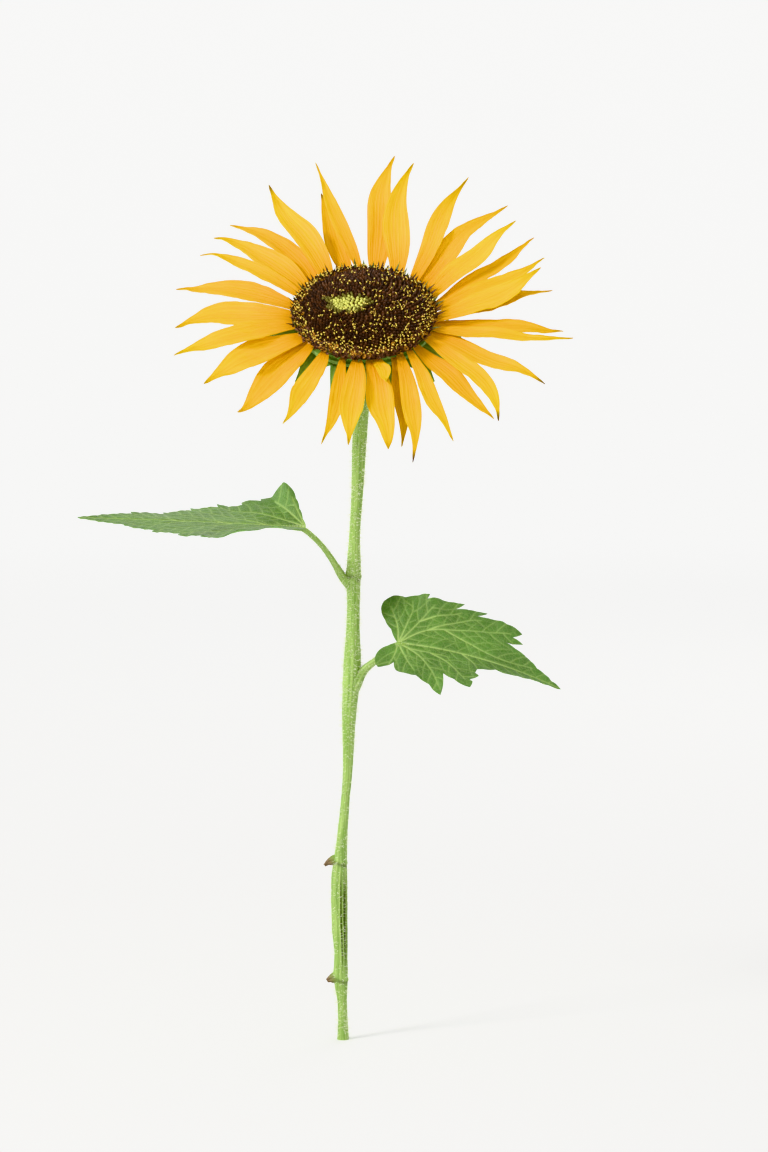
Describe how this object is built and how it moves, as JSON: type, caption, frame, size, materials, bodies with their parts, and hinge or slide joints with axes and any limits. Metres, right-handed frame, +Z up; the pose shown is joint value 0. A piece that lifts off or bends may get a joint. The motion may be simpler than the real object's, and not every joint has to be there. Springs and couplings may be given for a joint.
{
  "type": "sunflower plant",
  "caption": "Rooted dwarf sunflower in flower: a slim bristly stem with toothed leaves and stalk stubs, and one tilted head of narrow rays round a domed disc.",
  "frame": {"origin": "middle of the flat cut under the stem, at ground level", "axes": "+Z up the stem; the flower head leans and faces towards -Y; +X to the right as the flower is seen from the front"},
  "size_m": [0.3191, 0.1956, 0.5799],
  "materials": {
    "stem": "fresh green bristly stem and leaf stalks, satin",
    "stub": "dry broken stalk stubs, matte",
    "leaf": "rough hairy leaf blade with pale veins, matte",
    "ray": "soft golden ray petal with fine ribs, satin",
    "disc": "dark brown disc florets, matte",
    "bract": "hairy green bracts and receptacle, matte"
  },
  "bodies": {
    "root": {"stem": "stem", "left_petiole": "stem", "right_petiole": "stem", "upper_stub": "stub", "lower_stub": "stub", "left_leaf": "leaf", "right_leaf": "leaf", "receptacle": "bract", "disc": "disc", "ray_01": "ray", "ray_02": "ray", "ray_03": "ray", "ray_04": "ray", "ray_05": "ray", "ray_06": "ray", "ray_07": "ray", "ray_08": "ray", "ray_09": "ray", "ray_10": "ray", "ray_11": "ray", "ray_12": "ray", "ray_13": "ray", "ray_14": "ray", "ray_15": "ray", "ray_16": "ray", "ray_17": "ray", "ray_18": "ray", "ray_19": "ray", "ray_20": "ray", "ray_21": "ray", "ray_22": "ray", "ray_23": "ray", "ray_24": "ray", "ray_25": "ray", "ray_26": "ray", "ray_27": "ray", "ray_28": "ray", "ray_29": "ray", "ray_30": "ray", "ray_31": "ray", "ray_32": "ray", "ray_33": "ray", "bract_01": "bract", "bract_02": "bract", "bract_03": "bract", "bract_04": "bract", "bract_05": "bract", "bract_06": "bract", "bract_07": "bract", "bract_08": "bract", "bract_09": "bract", "bract_10": "bract", "bract_11": "bract", "bract_12": "bract", "bract_13": "bract", "bract_14": "bract", "bract_15": "bract", "bract_16": "bract"}
  },
  "joints": []
}
